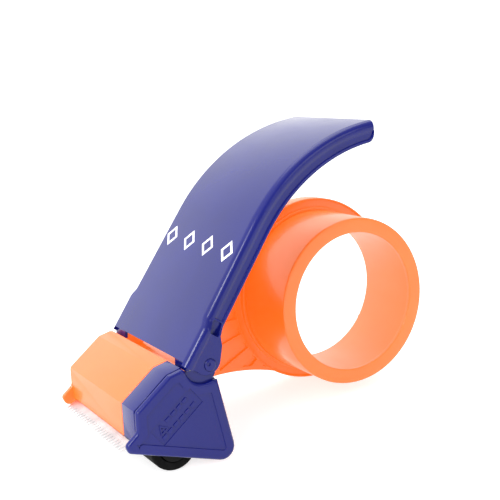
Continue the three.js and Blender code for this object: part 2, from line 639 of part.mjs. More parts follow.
// The springy tongue holds the cut end of the tape down on the press roller.
function makeTapeTongue() {
  const top = BLADE.thickness + GAP;
  const bend = onBlade(BLADE.length, top);
  const slope = radians(BLADE.slope + TONGUE.rise);
  const end = [bend[0] + TONGUE.reach * Math.cos(slope), bend[1] + TONGUE.reach * Math.sin(slope)];
  const path = [end, bend, onBlade(TONGUE.start, top)];
  const half = INSIDE - ROLLER_SIDE_PLAY;
  const plate = slab(strip(path, TONGUE.thickness), -half, half);
  const holes = bladeHoles(BLADE_SCREW.radius + GAP, 0, top + TONGUE.thickness + BEYOND);
  return meshOf('tape_tongue', plate.subtract(holes), NYLON);
}

const clampTop = BLADE.thickness + TONGUE.thickness + 2 * GAP;

function makeBladeClamp() {
  const shape = outline([
    onBlade(CLAMP.start, clampTop), onBlade(CLAMP.end, clampTop),
    onBlade(CLAMP.end, clampTop + CLAMP.thickness), onBlade(CLAMP.start, clampTop + CLAMP.thickness),
  ]);
  const half = BLADE.halfWidth - CLAMP.shorter;
  const bare = slab(shape, -half, half);
  const holes = bladeHoles(BLADE_SCREW.radius + GAP, 0, clampTop + CLAMP.thickness + BEYOND);
  return meshOf('blade_clamp', bare.subtract(holes), STEEL);
}

function makeBladeScrew(name, y) {
  const head = clampTop + CLAMP.thickness + GAP;
  const profile = [
    [0, -WALL], [BLADE_SCREW.radius, -WALL], [BLADE_SCREW.radius, head], [BLADE_SCREW.headRadius, head],
    [BLADE_SCREW.headRadius, head + 0.7], [BLADE_SCREW.headRadius - 0.6, head + BLADE_SCREW.headHeight],
    [0, head + BLADE_SCREW.headHeight],
  ];
  const points = profile.map(([radius, depth]) => new THREE.Vector2(radius, depth));
  const geometry = new THREE.LatheGeometry(points, 12);
  geometry.rotateX(Math.PI / 2);
  placeOnBlade(geometry, y);
  const made = solid(geometry);
  return meshOf(name, made.volume() > 0 ? made : solid(flipped(geometry)), STEEL);
}

// ---- rollers ------------------------------------------------------------------------------
function makePressSleeve() {
  const half = INSIDE - ROLLER_SIDE_PLAY;
  const { x, z, radius, coreRadius } = PRESS_ROLLER;
  const bore = coreRadius + GAP;
  return meshOf('press_roller_sleeve', turned([
    [bore, -half], [radius - 0.8, -half], [radius, -half + 0.8], [radius, half - 0.8],
    [radius - 0.8, half], [bore, half], [bore, -half],
  ], x, z, 32), RUBBER);
}

function makeTube(name, roller, outerRadius, half, look) {
  const bore = roller.axleRadius + GAP;
  return meshOf(name, turned([
    [bore, -half], [outerRadius, -half], [outerRadius, half], [bore, half], [bore, -half],
  ], roller.x, roller.z, 24), look);
}

// Ribs round the guide roller keep the sticky side of the tape off it.
function makeGuideRoller() {
  const { x, z, radius, rootRadius, axleRadius, ribs } = GUIDE_ROLLER;
  const half = INSIDE - ROLLER_SIDE_PLAY;
  const pitch = 2 * half / ribs;
  const ridges = Array.from({ length: ribs }, (_, i) => {
    const from = -half + i * pitch;
    return [[radius, from], [radius, from + pitch * 0.4], [rootRadius, from + pitch * 0.5],
      [rootRadius, from + pitch * 0.9]];
  }).flat();
  const bore = axleRadius + GAP;
  const profile = [[bore, -half], ...ridges.slice(0, -2), [radius, half], [bore, half], [bore, -half]];
  return meshOf('guide_roller', turned(profile, x, z, 14), NYLON);
}

function makeAxle(name, roller) {
  const half = HALF_WIDTH - AXLE_SKIN - GAP;
  return meshOf(name, bar(roller.x, roller.z, roller.axleRadius, -half, half, 14), STEEL);
}

// ---- screws from the far side into the cover's posts ----------------------------------------
function makeCoverScrew(name, { x, z }) {
  const seat = HALF_WIDTH - COVER_SCREW.sink + GAP;
  const top = seat + COVER_SCREW.headHeight;
  const body = turned([
    [0, seat - COVER_SCREW.length], [COVER_SCREW.radius, seat - COVER_SCREW.length + 1],
    [COVER_SCREW.radius, seat], [COVER_SCREW.headRadius, seat],
    [COVER_SCREW.headRadius, seat + 0.6], [COVER_SCREW.headRadius - 0.6, top], [0, top],
  ], x, z, 14);
  const cross = [0, Math.PI / 2].map((angle) => {
    const geometry = new THREE.BoxGeometry(CROSS_SLOT.length, CROSS_SLOT.depth, CROSS_SLOT.width);
    geometry.rotateY(angle);
    geometry.translate(x, top, z);
    return solid(geometry);
  });
  return meshOf(name, without(body, cross), STEEL);
}

// ---- the whole dispenser --------------------------------------------------------------------
const dispenser = new THREE.Group();
dispenser.add(
  makeFrame(),
  makeSideCover(),
  makeTapeDrum(),
  makeHandle(),
  makeHandlePin('handle_pin_near', -1),
  makeHandlePin('handle_pin_far', 1),
  makeBlade(),
  makeBladeClamp(),
  makeTapeTongue(),
  ...BLADE_SCREW.places.map((y, i) => makeBladeScrew(`blade_screw_${i + 1}`, y)),
  makePressSleeve(),
  makeTube('press_roller_core', PRESS_ROLLER, PRESS_ROLLER.coreRadius,
    INSIDE - ROLLER_SIDE_PLAY + CORE_OUTREACH, NYLON),
  makeAxle('press_roller_axle', PRESS_ROLLER),
  makeGuideRoller(),
  makeAxle('guide_roller_axle', GUIDE_ROLLER),
  ...POSTS.map((post, i) => makeCoverScrew(`cover_screw_${i + 1}`, post)),
);

// It stands on the press roller and the hub's rim: the line under both is turned level.
const betweenAxes = Math.hypot(PRESS_ROLLER.x, PRESS_ROLLER.z);
const tilt = Math.atan2(-PRESS_ROLLER.z, -PRESS_ROLLER.x)
  - Math.asin((RIM_RADIUS - PRESS_ROLLER.radius) / betweenAxes);
dispenser.rotation.y = tilt;

const standing = new THREE.Group();
standing.add(dispenser);
standing.updateMatrixWorld(true);
const bounds = new THREE.Box3().setFromObject(standing, true);
const centre = bounds.getCenter(new THREE.Vector3());
dispenser.position.set(-centre.x, -centre.y, -bounds.min.z);

export default standing;
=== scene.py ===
from math import atan2, ceil, cos, pi, radians, sin, sqrt, tan

import bmesh
import bpy
from mathutils import Matrix, Vector


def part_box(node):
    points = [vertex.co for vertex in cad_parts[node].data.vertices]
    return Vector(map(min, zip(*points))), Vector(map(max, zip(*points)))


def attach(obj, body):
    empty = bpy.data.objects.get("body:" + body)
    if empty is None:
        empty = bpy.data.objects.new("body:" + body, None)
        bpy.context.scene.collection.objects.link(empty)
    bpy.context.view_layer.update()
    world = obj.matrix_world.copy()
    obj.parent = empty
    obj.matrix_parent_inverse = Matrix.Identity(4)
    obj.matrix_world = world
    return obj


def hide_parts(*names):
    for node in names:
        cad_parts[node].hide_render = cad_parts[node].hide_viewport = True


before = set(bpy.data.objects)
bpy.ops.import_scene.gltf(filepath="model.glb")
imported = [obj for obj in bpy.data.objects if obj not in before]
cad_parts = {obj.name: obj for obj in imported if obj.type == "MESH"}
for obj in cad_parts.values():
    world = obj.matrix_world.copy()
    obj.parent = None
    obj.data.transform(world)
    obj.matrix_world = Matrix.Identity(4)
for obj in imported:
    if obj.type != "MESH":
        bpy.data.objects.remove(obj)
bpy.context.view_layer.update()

# The pieces are modelled in millimetres in the dispenser's own design frame: the origin is on the
# drum's axis, X runs from the head (-X) to the drum, Y is the tape's width and Z is up. REST then
# sets them down where the CAD nodes stand.

# ---- driving dimensions, millimetres ---------------------------------------------------------
TAPE_SPACE = 62
WALL = 2
LEDGE = 1.8
GAP = 0.3
HANDLE_WALL = 1.8
HALF_WIDTH = TAPE_SPACE / 2 + LEDGE + GAP + HANDLE_WALL
COVER_BAND = 14

DRUM_RADIUS = 37.5
DRUM_WALL = 2
DRUM_LENGTH = 32.4
DRUM_LIP_RADIUS = 31
COLLAR_WALL = 1.6
COLLAR_PLAY = 1.2
CATCH = 0.75                    # height of the collar's bead and of the drum's rib
CATCH_START = 3.2               # the drum's rib, behind the collar's end
THRUST_RING_RADIUS = 38.8
THRUST_RING_WIDTH = 2
THRUST_RING_HEIGHT = 1

RIM_RADIUS = 43
RIM_WALL = 1.8
RIM_DEPTH = 8
RIM_STEP = 0.8                  # the groove round the drum ends this far inside the rim
HUB_RIBS = 12
HUB_RIB_REACH = 7               # from the rim's outside, inwards
HUB_SIDES = 128
RIB_WIDTH = 1.4
RIB_FOOT = 1.2                  # the ribs start this far into the floor
RIB_DROP = 2                    # and end this far short of the rim's face

HANDLE_RADIUS = 82
HANDLE_TIP_ANGLE = 98.8
HANDLE_BEND_ANGLE = 148.6
HANDLE_STRAIGHT = 57.6
HANDLE_DEPTH = 8.7
HANDLE_PLATE = 2.2
HANDLE_TIP_WALL = 2
HANDLE_CORNER = 2.6
HANDLE_TIP_ROUND = 3.5
HANDLE_JOG = 2
HANDLE_TAPER = 3
JOG_START = 14.4
JOG_END = 19
LOBE = (-90.6, -6.8)
LOBE_RADIUS = 5.7
LOBE_BACK = (-84.2, -2)         # upper end of the lobe's rear edge

PIN = (-89.5, -8.6)
PIN_RADIUS = 2
PIN_HEAD_RADIUS = 2.4
PIN_HEAD_HEIGHT = 0.9
PIN_HEAD_PLAY = 0.15
PIN_DOME = 0.15                 # how far a head stands out of its lobe
PIN_BARB_LIFT = 0.6
PIN_BARB_LENGTH = 1.4
PIN_BOSS_WALL = 2.4             # plastic round a pin's bore

PRESS_ROLLER = (-102.4, -39.5)
PRESS_RADIUS = 9.7
PRESS_CORE_RADIUS = 6
PRESS_AXLE_RADIUS = 1.5
GUIDE_ROLLER = (-93, -27.5)
GUIDE_AXLE_RADIUS = 1.2
ROLLER_SIDE_PLAY = 1.2
AXLE_SOCKET_WALL = 2.6          # plastic round an axle's end
AXLE_SKIN = 1                   # plastic left outside an axle's end

HOOD_TOP = (-101, -8.6)
HOOD_BEND = (-106.7, -10.4)
HOOD_FRONT = (-119.9, -22.3)
CHIN = (-119.5, -30)
NOSE_TIP = (-124.2, -34.4)
NOSE_BOTTOM = (-122.6, -37.4)
HEEL = (-76.8, -49)
HEEL_ROUND = 5.1
HEAD_BACK = (-86.3, -14.6)
TROUGH = (-91.9, -6.9)
TROUGH_RADIUS = 8.5
TROUGH_ANGLES = (290, 200)
LEDGE_ANGLES = (203, 287)
LEDGE_REAR = ((-86.7, -12.6), (-86.5, -8.6))

BLADE_TIP = (-124, -37.8)
BLADE_SLOPE = 26
SEAT_START = 5.6                # blade seat, measured from the tooth tips
SEAT_END = 13.5

# The cover's screw posts: the centre and the radius of each.
SCREW_POSTS = (((-112.4, -23.2), 3), ((-85, -42.2), 2.6), ((-103.5, -15.3), 3))
SCREW_PAD_EXTRA = 1.2           # the screw pads are this much wider than the posts
SCREW_BORE_RADIUS = 1.3
SCREW_HEAD_BORE_RADIUS = 2.9
SCREW_HEAD_SINK = 1.5

EDGE = 0.4                      # usual round on a moulded edge
SMALL_EDGE = 0.3

# ---- planes along Y --------------------------------------------------------------------------
INSIDE = TAPE_SPACE / 2
LEDGE_FACE = INSIDE + LEDGE
WALL_INSIDE = HALF_WIDTH - WALL
SPLIT = -HALF_WIDTH + COVER_BAND
OVERLAP = 0.5                   # joined shapes run this far into each other
BEYOND = 1                      # cutting shapes run this far past a surface
RIM_FACE = INSIDE + RIM_DEPTH
DRUM_FAR = INSIDE - THRUST_RING_HEIGHT - GAP
DRUM_NEAR = DRUM_FAR - DRUM_LENGTH
DRUM_BORE = DRUM_RADIUS - DRUM_WALL
COLLAR_OUTER = DRUM_BORE - COLLAR_PLAY
COLLAR_INNER = COLLAR_OUTER - COLLAR_WALL


def middle(node):
    low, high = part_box(node)
    return (low + high) / 2


def rest_matrix():
    """Takes the design frame, in millimetres, to the row frame, in metres."""
    drum = middle("tape_drum")
    press = middle("press_roller_sleeve")
    origin = Vector((drum.x, middle("handle").y, drum.z))
    tilt = atan2(-PRESS_ROLLER[1], -PRESS_ROLLER[0]) - atan2(drum.z - press.z, drum.x - press.x)
    return Matrix.Translation(origin) @ Matrix.Rotation(tilt, 4, "Y") @ Matrix.Scale(0.001, 4)


REST = rest_matrix()


# ---- outlines in the X-Z plane ---------------------------------------------------------------
def arc(centre, radius, start, end, steps=12):
    angles = [radians(start + (end - start) * i / steps) for i in range(steps + 1)]
    return [(centre[0] + radius * cos(a), centre[1] + radius * sin(a)) for a in angles]


def outline(corners, steps=6):
    """Points round a closed shape; a corner is (x, z) or (x, z, radius) when it is rounded."""
    points = []
    for i, (x, z, *rest) in enumerate(corners):
        radius = rest[0] if rest else 0
        if radius == 0:
            points.append((x, z))
            continue
        here = Vector((x, z))
        back = (Vector(corners[i - 1][:2]) - here).normalized()
        ahead = (Vector(corners[(i + 1) % len(corners)][:2]) - here).normalized()
        half = back.angle(ahead) / 2
        centre = here + (back + ahead).normalized() * radius / sin(half)
        start = here + back * radius / tan(half) - centre
        end = here + ahead * radius / tan(half) - centre
        turn = atan2(start.x * end.y - start.y * end.x, start.dot(end))
        for k in range(steps + 1):
            points.append(tuple(Matrix.Rotation(turn * k / steps, 2) @ start + centre))
    return points


def left_of(a, b):
    return Vector((a[1] - b[1], b[0] - a[0])).normalized()


def strip(path, thickness):
    """A strip of even thickness on the left-hand side of an open path."""
    inner = []
    for i, point in enumerate(path):
        before = left_of(path[i - 1], point) if i else left_of(point, path[i + 1])
        after = left_of(point, path[i + 1]) if i < len(path) - 1 else before
        way = (before + after).normalized()
        inner.append(tuple(Vector(point) + way * thickness / way.dot(after)))
    return list(path) + inner[::-1]


def area(points):
    pairs = zip(points, points[1:] + points[:1])
    return sum(a[0] * b[1] - b[0] * a[1] for a, b in pairs) / 2


def inset(points, distance):
    """The closed outline moved inwards by a distance, with as many points."""
    sharpest = 0.3              # keeps a point at a sharp corner from running off
    side = 1 if area(points) > 0 else -1
    moved = []
    for i, point in enumerate(points):
        before = left_of(points[i - 1], point)
        after = left_of(point, points[(i + 1) % len(points)])
        way = (before + after).normalized()
        moved.append(tuple(Vector(point) + way * side * distance / max(sharpest, way.dot(after))))
    return moved


# ---- meshes ----------------------------------------------------------------------------------
def mesh_object(name, vertices, faces):
    mesh = bpy.data.meshes.new(name)
    mesh.from_pydata([tuple(v) for v in vertices], [], faces)
    work = bmesh.new()
    work.from_mesh(mesh)
    bmesh.ops.remove_doubles(work, verts=work.verts, dist=1e-4)
    bmesh.ops.recalc_face_normals(work, faces=work.faces)
    work.to_mesh(mesh)
    work.free()
    obj = bpy.data.objects.new(name, mesh)
    bpy.context.collection.objects.link(obj)
    return obj


def loft(name, rings, loop=False):
    """A skin through rings of the same number of points, with flat ends or closed on itself."""
    count = len(rings[0])
    vertices = [point for ring in rings for point in ring]
    faces = []
    for r in range(len(rings) if loop else len(rings) - 1):
        for i in range(count):
            a = r * count + i
            b = r * count + (i + 1) % count
            shift = count * ((r + 1) % len(rings)) - r * count
            faces.append((a, b, b + shift, a + shift))
    if not loop:
        last = (len(rings) - 1) * count
        faces.append(tuple(range(count)))
        faces.append(tuple(range(last, last + count)))
    return mesh_object(name, vertices, faces)


def at_y(points, y):
    return [(x, y, z) for x, z in points]


def edge_rings(points, y, way, round_, steps=4):
    """Rings of a quarter round from an end face at y to the full outline, going the given way."""
    if round_ == 0:
        return [at_y(points, y)]
    rings = []
    for k in range(steps + 1):
        angle = pi / 2 * k / steps
        ring = inset(points, round_ * (1 - sin(angle)))
        rings.append(at_y(ring, y + way * round_ * (1 - cos(angle))))
    return rings


def slab(points, from_y, to_y, near=0, far=0, name="slab"):
    """An outline filled between two planes along Y, with its near and far edges rounded."""
    return loft(name, edge_rings(points, from_y, 1, near) + edge_rings(points, to_y, -1, far)[::-1])


def both_sides(points, low, high, edge=0):
    """The same slab on the far and on the near side, with its outer edge rounded."""
    return [slab(points, low, high, 0, edge), slab(points, -high, -low, edge, 0)]


def bar(centre, radius, from_y, to_y, near=0, far=0, sides=48, name="bar"):
    return slab(arc(centre, radius, 0, 360 - 360 / sides, sides - 1), from_y, to_y, near, far, name)


def turned(profile, centre=(0, 0), sides=HUB_SIDES, name="turned"):
    """A closed profile of (radius, y) turned about Y."""
    rings = []
    for k in range(sides):
        a = 2 * pi * k / sides
        rings.append([(centre[0] + r * cos(a), y, centre[1] + r * sin(a)) for r, y in profile])
    return loft(name, rings, loop=True)


def settle(obj):
    """Makes the object's modifiers part of its mesh."""
    graph = bpy.context.evaluated_depsgraph_get()
    mesh = bpy.data.meshes.new_from_object(obj.evaluated_get(graph))
    obj.modifiers.clear()
    old = obj.data
    obj.data = mesh
    bpy.data.meshes.remove(old)


def drop(objects):
    for obj in objects:
        mesh = obj.data
        bpy.data.objects.remove(obj)
        bpy.data.meshes.remove(mesh)


def boolean(body, others, operation):
    for other in others:
        modifier = body.modifiers.new(operation, "BOOLEAN")
        modifier.operation = operation
        modifier.object = other
        modifier.solver = "MANIFOLD"
    settle(body)
    drop(others)
    return body


def union(pieces):
    return boolean(pieces[0], pieces[1:], "UNION")


def without(body, cuts):
    return boolean(body, cuts, "DIFFERENCE")


def common(body, other):
    return boolean(body, [other], "INTERSECT")


def smooth(obj):
    """Smooth shading, except across edges that turn by more than 38 degrees."""
    obj.data.shade_smooth()
    obj.data.set_sharp_from_angle(angle=radians(38))


def place(obj, body, material, slot, *nodes):
    """Sets a finished piece down in the row frame, on its body and in place of its CAD nodes."""
    obj.data.transform(REST)
    obj.data.materials.clear()
    obj.data.materials.append(material)
    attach(obj, body)
    if nodes:
        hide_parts(*nodes)


# ---- materials -------------------------------------------------------------------------------
class Nodes:
    """A small writer for a material's node tree."""

    def __init__(self, name):
        self.material = bpy.data.materials.new(name)
        self.material.use_nodes = True
        self.tree = self.material.node_tree
        self.tree.nodes.clear()
        self.shader = self.add("ShaderNodeBsdfPrincipled")
        output = self.add("ShaderNodeOutputMaterial")
        self.link(self.shader.outputs["BSDF"], output.inputs["Surface"])
        self.place = self.add("ShaderNodeTexCoord").outputs["Object"]

    def add(self, kind, **settings):
        node = self.tree.nodes.new(kind)
        for key, value in settings.items():
            setattr(node, key, value)
        return node

    def link(self, output, socket):
        self.tree.links.new(output, socket)

    def noise(self, scale, detail=4, roughness=0.55, stretch=None):
        node = self.add("ShaderNodeTexNoise")
        node.inputs["Scale"].default_value = scale
        node.inputs["Detail"].default_value = detail
        node.inputs["Roughness"].default_value = roughness
        place = self.place
        if stretch:
            mapping = self.add("ShaderNodeMapping")
            mapping.inputs["Scale"].default_value = stretch
            self.link(place, mapping.inputs["Vector"])
            place = mapping.outputs["Vector"]
        self.link(place, node.inputs["Vector"])
        return node.outputs["Fac"]

    def cells(self, scale):
        node = self.add("ShaderNodeTexVoronoi", feature="F1")
        node.inputs["Scale"].default_value = scale
        self.link(self.place, node.inputs["Vector"])
        return node.outputs["Distance"]

    def remap(self, value, from_low, from_high, to_low, to_high):
        node = self.add("ShaderNodeMapRange")
        for name, number in (("From Min", from_low), ("From Max", from_high),
                             ("To Min", to_low), ("To Max", to_high)):
            node.inputs[name].default_value = number
        self.link(value, node.inputs["Value"])
        return node.outputs["Result"]

    def blend(self, factor, first, second):
        node = self.add("ShaderNodeMix", data_type="RGBA")
        self.link(factor, node.inputs["Factor"])
        for socket in node.inputs:
            if socket.type == "RGBA":
                socket.default_value = (*(first if socket.name == "A" else second), 1)
        return next(socket for socket in node.outputs if socket.type == "RGBA")

    def math(self, operation, first, second):
        node = self.add("ShaderNodeMath", operation=operation)
        for socket, value in zip(node.inputs, (first, second)):
            if isinstance(value, (int, float)):
                socket.default_value = value
            else:
                self.link(value, socket)
        return node.outputs[0]

    def bump(self, height, strength, distance):
        node = self.add("ShaderNodeBump")
        node.inputs["Strength"].default_value = strength
        node.inputs["Distance"].default_value = distance
        self.link(height, node.inputs["Height"])
        self.link(node.outputs["Normal"], self.shader.inputs["Normal"])

    def set(self, **values):
        for name, value in values.items():
            self.shader.inputs[name.replace("_", " ")].default_value = value


PAINTED_GLOW_COLOUR = (1, 0.27, 0.01, 1)     # painted glow: colour of an emission that lifts the orange in its shade


def moulded_plastic(name, colour, deep_colour, gloss, ior=1.5, coat=0.0, subsurface=0.0,
                    glow=(1, 0.3, 0.1), painted_glow=0.0):
    """Injection-moulded plastic: slow flow clouds in the colour, fine grain and light scuffs.

    A painted glow, an orange emission that stands in for the pigment's fluorescence, keeps the plastic
    bright and saturated in its shade.
    """
    nodes = Nodes(name)
    clouds = nodes.noise(38, detail=3, roughness=0.5)
    colour_mix = nodes.blend(nodes.remap(clouds, 0.35, 0.65, 0, 1), colour, deep_colour)
    nodes.link(colour_mix, nodes.shader.inputs["Base Color"])
    grain = nodes.noise(2600, detail=2)
    smears = nodes.noise(120, detail=5, stretch=(1, 0.35, 1))
    wear = nodes.math("ADD", nodes.math("MULTIPLY", smears, 0.7), nodes.math("MULTIPLY", grain, 0.3))
    roughness = nodes.remap(wear, 0.3, 0.7, gloss - 0.05, gloss + 0.08)
    nodes.link(roughness, nodes.shader.inputs["Roughness"])
    ripple = nodes.noise(55, detail=2)
    height = nodes.math("ADD", nodes.math("MULTIPLY", grain, 0.25), ripple)
    nodes.bump(height, 0.06, 0.0004)
    nodes.set(IOR=ior, Coat_Weight=coat, Coat_Roughness=0.12)
    if subsurface:
        nodes.set(Subsurface_Weight=subsurface, Subsurface_Radius=glow, Subsurface_Scale=0.003)
    # Painted glow: an emission that lights the plastic whatever light falls on it.
    if painted_glow:
        nodes.set(Emission_Color=PAINTED_GLOW_COLOUR, Emission_Strength=painted_glow)
    return nodes.material


def blade_steel():
    """Ground strip steel: fine lines across the blade and a few dull patches."""
    nodes = Nodes("blade_steel")
    lines = nodes.noise(900, detail=3, stretch=(1, 0.03, 1))
    patches = nodes.noise(160, detail=4)
    tint = nodes.blend(nodes.remap(patches, 0.35, 0.7, 0, 1), (0.62, 0.6, 0.6), (0.45, 0.44, 0.45))
    nodes.link(tint, nodes.shader.inputs["Base Color"])
    nodes.link(nodes.remap(lines, 0.3, 0.7, 0.22, 0.42), nodes.shader.inputs["Roughness"])
    nodes.bump(lines, 0.12, 0.0002)
    nodes.set(Metallic=1.0)
    return nodes.material


def zinc_steel():
    """Bright zinc plating with a grain of small crystals."""
    nodes = Nodes("zinc_steel")
    spangle = nodes.cells(1500)
    tint = nodes.blend(nodes.remap(spangle, 0.1, 0.7, 0, 1), (0.66, 0.67, 0.69), (0.5, 0.51, 0.54))
    nodes.link(tint, nodes.shader.inputs["Base Color"])
    nodes.link(nodes.remap(spangle, 0.1, 0.7, 0.25, 0.4), nodes.shader.inputs["Roughness"])
    nodes.bump(spangle, 0.1, 0.0001)
    nodes.set(Metallic=1.0)
    return nodes.material


def black_rubber():
    """Soft roller rubber: matt, with fine pores and a little dust."""
    nodes = Nodes("black_rubber")
    dust = nodes.noise(220, detail=5)
    pores = nodes.noise(3200, detail=2)
    black = (0.0015, 0.0015, 0.0015)
    dusty = (0.006, 0.006, 0.006)
    tint = nodes.blend(nodes.remap(dust, 0.5, 0.75, 0, 1), black, dusty)
    nodes.link(tint, nodes.shader.inputs["Base Color"])
    nodes.link(nodes.remap(pores, 0.3, 0.7, 0.55, 0.75), nodes.shader.inputs["Roughness"])
    nodes.bump(pores, 0.35, 0.0002)
    nodes.set(Specular_IOR_Level=0.1)
    return nodes.material


def nylon():
    """Milky nylon with a faint grain."""
    nodes = Nodes("nylon")
    clouds = nodes.noise(90, detail=3)
    tint = nodes.blend(nodes.remap(clouds, 0.35, 0.65, 0, 1), (0.82, 0.8, 0.74), (0.74, 0.71, 0.64))
    nodes.link(tint, nodes.shader.inputs["Base Color"])
    grain = nodes.noise(2400, detail=2)
    nodes.link(nodes.remap(grain, 0.3, 0.7, 0.38, 0.52), nodes.shader.inputs["Roughness"])
    nodes.bump(grain, 0.15, 0.0001)
    nodes.set(Subsurface_Weight=0.15, Subsurface_Radius=(0.9, 0.8, 0.7), Subsurface_Scale=0.001)
    return nodes.material


def white_ink():
    """Printed ink, slightly thin in places."""
    nodes = Nodes("white_ink")
    thin = nodes.noise(900, detail=4)
    tint = nodes.blend(nodes.remap(thin, 0.45, 0.75, 0, 1), (0.9, 0.9, 0.92), (0.72, 0.72, 0.82))
    nodes.link(tint, nodes.shader.inputs["Base Color"])
    nodes.link(nodes.remap(thin, 0.3, 0.7, 0.4, 0.55), nodes.shader.inputs["Roughness"])
    nodes.bump(thin, 0.1, 0.0001)
    return nodes.material


# The orange carries a painted glow: a weak orange emission that lifts it in the shade.
ORANGE = moulded_plastic("orange_plastic", (1, 0.108, 0.018), (0.97, 0.098, 0.015), 0.36, coat=0.3,
                         subsurface=0.3, glow=(1, 0.25, 0.06), painted_glow=0.35)
BLUE = moulded_plastic("blue_plastic", (0.003, 0.006, 0.135), (0.0025, 0.005, 0.115), 0.17, ior=1.42)
BLADE_STEEL = blade_steel()
ZINC = zinc_steel()
RUBBER = black_rubber()
NYLON = nylon()
INK = white_ink()
BLACK_PLASTIC = moulded_plastic("black_plastic", (0.004, 0.004, 0.004), (0.006, 0.006, 0.007), 0.6,
                                ior=1.25)


# ---- the head's shared outlines --------------------------------------------------------------
TROUGH_ARC = arc(TROUGH, TROUGH_RADIUS, *TROUGH_ANGLES, 20)
BLADE_ALONG = Vector((cos(radians(BLADE_SLOPE)), sin(radians(BLADE_SLOPE))))
BLADE_BELOW = Vector((BLADE_ALONG.y, -BLADE_ALONG.x))


def on_blade(along, below):
    """A point measured from the tooth tips up the blade, and away from its seat."""
    return tuple(Vector(BLADE_TIP) + BLADE_ALONG * along + BLADE_BELOW * below)


def head_outline(nose_round=1.6):
    return outline([
        (*HOOD_TOP, 1.5), (*HOOD_BEND, 1.5), (*HOOD_FRONT, 2.2), (*CHIN, 2.5), (*NOSE_TIP, nose_round),
        (*NOSE_BOTTOM, nose_round), (*HEEL, HEEL_ROUND), HEAD_BACK, *TROUGH_ARC,
    ])


def hood_outline():
    return strip([
        HEAD_BACK, *TROUGH_ARC, HOOD_TOP, HOOD_BEND, HOOD_FRONT,
        on_blade(SEAT_START, -GAP), on_blade(SEAT_END, -GAP),
    ], WALL)


def span(side, low, high):
    """Two planes along Y on the far side (+1), or their mirror images on the near side (-1)."""
    return (low, high) if side > 0 else (-high, -low)


def ledge_pieces(side):
    """The wall behind a handle lobe, and the recess's curved side."""
    ledge = [*arc(TROUGH, TROUGH_RADIUS + LEDGE, *LEDGE_ANGLES, 16), *LEDGE_REAR]
    return [
        slab(ledge, *span(side, INSIDE, LEDGE_FACE)),
        bar(PIN, PIN_RADIUS + PIN_BOSS_WALL, *span(side, INSIDE, LEDGE_FACE)),
        slab(strip(TROUGH_ARC, LEDGE), *span(side, INSIDE, WALL_INSIDE + OVERLAP)),
    ]


AXLES = ((PRESS_ROLLER, PRESS_AXLE_RADIUS), (GUIDE_ROLLER, GUIDE_AXLE_RADIUS))


def axle_sockets(side):
    sockets = []
    for centre, radius in AXLES:
        socket = bar(centre, radius + GAP + AXLE_SOCKET_WALL, *span(side, INSIDE, WALL_INSIDE + OVERLAP))
        sockets.append(common(socket, slab(head_outline(), *span(side, 0, HALF_WIDTH))))
    return sockets


def bores(side):
    depth = span(side, INSIDE - BEYOND, HALF_WIDTH - AXLE_SKIN)
    return [
        *[bar(centre, radius + GAP, *depth) for centre, radius in AXLES],
        bar(PIN, PIN_RADIUS + GAP, *span(side, INSIDE - BEYOND, HALF_WIDTH + BEYOND)),
    ]


# ---- tape drum -------------------------------------------------------------------------------
def make_drum():
    catch = DRUM_NEAR + DRUM_WALL + GAP + CATCH_START
    section = outline([
        (DRUM_LIP_RADIUS, DRUM_NEAR, 0.5), (DRUM_RADIUS, DRUM_NEAR, 0.9), (DRUM_RADIUS, DRUM_FAR, EDGE),
        (DRUM_BORE, DRUM_FAR, SMALL_EDGE), (DRUM_BORE, catch + 1.6), (DRUM_BORE - CATCH, catch + 1.1),
        (DRUM_BORE - CATCH, catch), (DRUM_BORE, catch - 0.5),
        (DRUM_BORE, DRUM_NEAR + DRUM_WALL, SMALL_EDGE), (DRUM_LIP_RADIUS, DRUM_NEAR + DRUM_WALL, SMALL_EDGE),
    ], 5)
    drum = turned(section, name="drum_shell")
    smooth(drum)
    place(drum, "tape_drum", ORANGE, "orange_plastic", "tape_drum")


# ---- frame -----------------------------------------------------------------------------------
GROOVE_WIDTH = 3.4
GROOVE_DEPTH = 1.1
GROOVE_END = 60                 # from the drum's axis
GROOVE_FIRST = 170              # degrees
GROOVE_PITCH = 10.5
GROOVE_COUNT = 7
ARM_RIB_ANGLES = (168, 186, 204)
ARCH_TOP = (-43, -34.7)
ARCH_RADIUS = 90
ARCH_END = -20                  # where the arm's underside comes up to the rim, along X
ARM_BOTTOM_ANGLE = -117         # the same place on the rim, degrees
ARM_TOP_ANGLE = 140 - 360       # where the arm's top edge meets the rim
ARM_TOP_START = (-87.4, -15.4)
ARM_ROOT_BOTTOM = (-82, -38)
# The back of the head is solid inside this outline, where the arm comes out of it.
ARM_ROOT = (ARM_TOP_START, (-70, -14), (-70, -44), (-83, -44))
ARM_HOLLOW_TOP = (-80.8, -17.4)
ARM_HOLLOW_BOTTOM = (-76, -38)
ARM_FULL_DEPTH = 6              # the arm reaches the rim's depth this far inside the rim


def arch_and_rim(start, drawn_in):
    """The arm's hollow underside and the hub's side of its outline, drawn in by a wall."""
    count = 14
    points = []
    for i in range(count + 1):
        x = start + (ARCH_END - start) * i / count
        rise = sqrt(ARCH_RADIUS ** 2 - (x - ARCH_TOP[0]) ** 2)
        points.append((x, ARCH_TOP[1] - ARCH_RADIUS + drawn_in + rise))
    return points + arc((0, 0), RIM_RADIUS - drawn_in - OVERLAP, ARM_BOTTOM_ANGLE, ARM_TOP_ANGLE, 24)


def arm_outline():
    return [ARM_TOP_START, ARM_ROOT_BOTTOM, *arch_and_rim(ARM_ROOT_BOTTOM[0] + 2, 0)]


def arm_hollow():
    return [ARM_HOLLOW_TOP, ARM_HOLLOW_BOTTOM, *arch_and_rim(ARM_HOLLOW_BOTTOM[0], RIM_WALL)]


